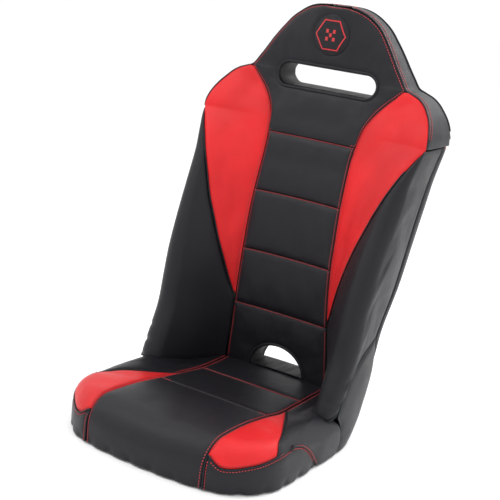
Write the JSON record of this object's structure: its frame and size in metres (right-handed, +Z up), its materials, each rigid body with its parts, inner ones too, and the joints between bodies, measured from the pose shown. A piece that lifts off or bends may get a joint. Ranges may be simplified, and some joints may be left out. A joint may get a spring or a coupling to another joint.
{
  "type": "racing seat",
  "caption": "Fixed-back bucket suspension seat with a sewn vinyl cover over foam and a tube frame, a harness slot and a belt opening.",
  "frame": {"origin": "middle of the footprint, on the plane that the mounting plates rest on", "axes": "+Z up, the sitter faces -Y, +X is the side to the right in a view along +Y"},
  "size_m": [0.532, 0.6092, 0.8526],
  "materials": {
    "black_vinyl": "satin fine-grained coated vinyl",
    "red_vinyl": "satin fine-grained coated vinyl",
    "frame_paint": "black powder coat",
    "mount_steel": "zinc plated",
    "zip_metal": "nickel plated, worn on the edges",
    "foam": "moulded open-cell foam skin, charcoal",
    "webbing": "woven polyester webbing",
    "zip_tape": "woven tape with moulded teeth",
    "badge_thread": "embroidery thread"
  },
  "bodies": {
    "seat": {"head_and_upper_centre_panel": "black_vinyl", "back_channel_panel_1": "black_vinyl", "back_channel_panel_2": "black_vinyl", "back_channel_panel_3": "black_vinyl", "lower_centre_panel": "black_vinyl", "head_side_band": "black_vinyl", "head_rear_panel": "black_vinyl", "back_rear_panel": "black_vinyl", "harness_slot_sleeve": "black_vinyl", "belt_opening_sleeve": "black_vinyl", "cushion_front_panel": "black_vinyl", "cushion_middle_panel": "black_vinyl", "cushion_rear_panel": "black_vinyl", "side_bolster_panel_left": "black_vinyl", "side_bolster_panel_right": "black_vinyl", "hip_panel_left": "black_vinyl", "hip_panel_right": "black_vinyl", "front_corner_band_left": "black_vinyl", "front_corner_band_right": "black_vinyl", "cushion_side_panel_left": "black_vinyl", "cushion_side_panel_right": "black_vinyl", "red_shoulder_panel_left": "red_vinyl", "red_shoulder_panel_right": "red_vinyl", "red_cushion_panel_left": "red_vinyl", "red_cushion_panel_right": "red_vinyl", "base_frame_loop": "frame_paint", "back_frame_hoop": "frame_paint", "shoulder_cross_tube": "frame_paint", "lumbar_cross_tube": "frame_paint", "hip_cross_tube": "frame_paint", "base_cross_tube_front": "frame_paint", "base_cross_tube_rear": "frame_paint", "bolster_brace_left": "frame_paint", "bolster_brace_right": "frame_paint", "mount_plate_front_left": "mount_steel", "mount_plate_front_right": "mount_steel", "mount_plate_rear_left": "mount_steel", "mount_plate_rear_right": "mount_steel", "mount_nut_front_left": "mount_steel", "mount_nut_front_right": "mount_steel", "mount_nut_rear_left": "mount_steel", "mount_nut_rear_right": "mount_steel", "back_foam": "foam", "bolster_foam_left": "foam", "bolster_foam_right": "foam", "head_foam": "foam", "seat_foam": "foam", "seat_strap_1": "webbing", "seat_strap_2": "webbing", "seat_strap_3": "webbing", "seat_strap_4": "webbing", "back_strap_1": "webbing", "back_strap_2": "webbing", "back_strap_3": "webbing", "back_strap_4": "webbing", "zip_tape": "zip_tape", "head_badge": "badge_thread"},
    "slider": {"zip_slider": "zip_metal"},
    "pull": {"zip_pull": "zip_metal"}
  },
  "joints": [
    {"name": "zip_travel", "type": "slide", "parent": "seat", "child": "slider", "axis": [1, 0, 0], "range_m": [0, 0.294]},
    {"name": "pull_tilt", "type": "hinge", "parent": "slider", "child": "pull", "pos_m": [-0.148, 0.30379, 0.611], "axis": [1, 0, 0], "range_deg": [0, 150]}
  ]
}
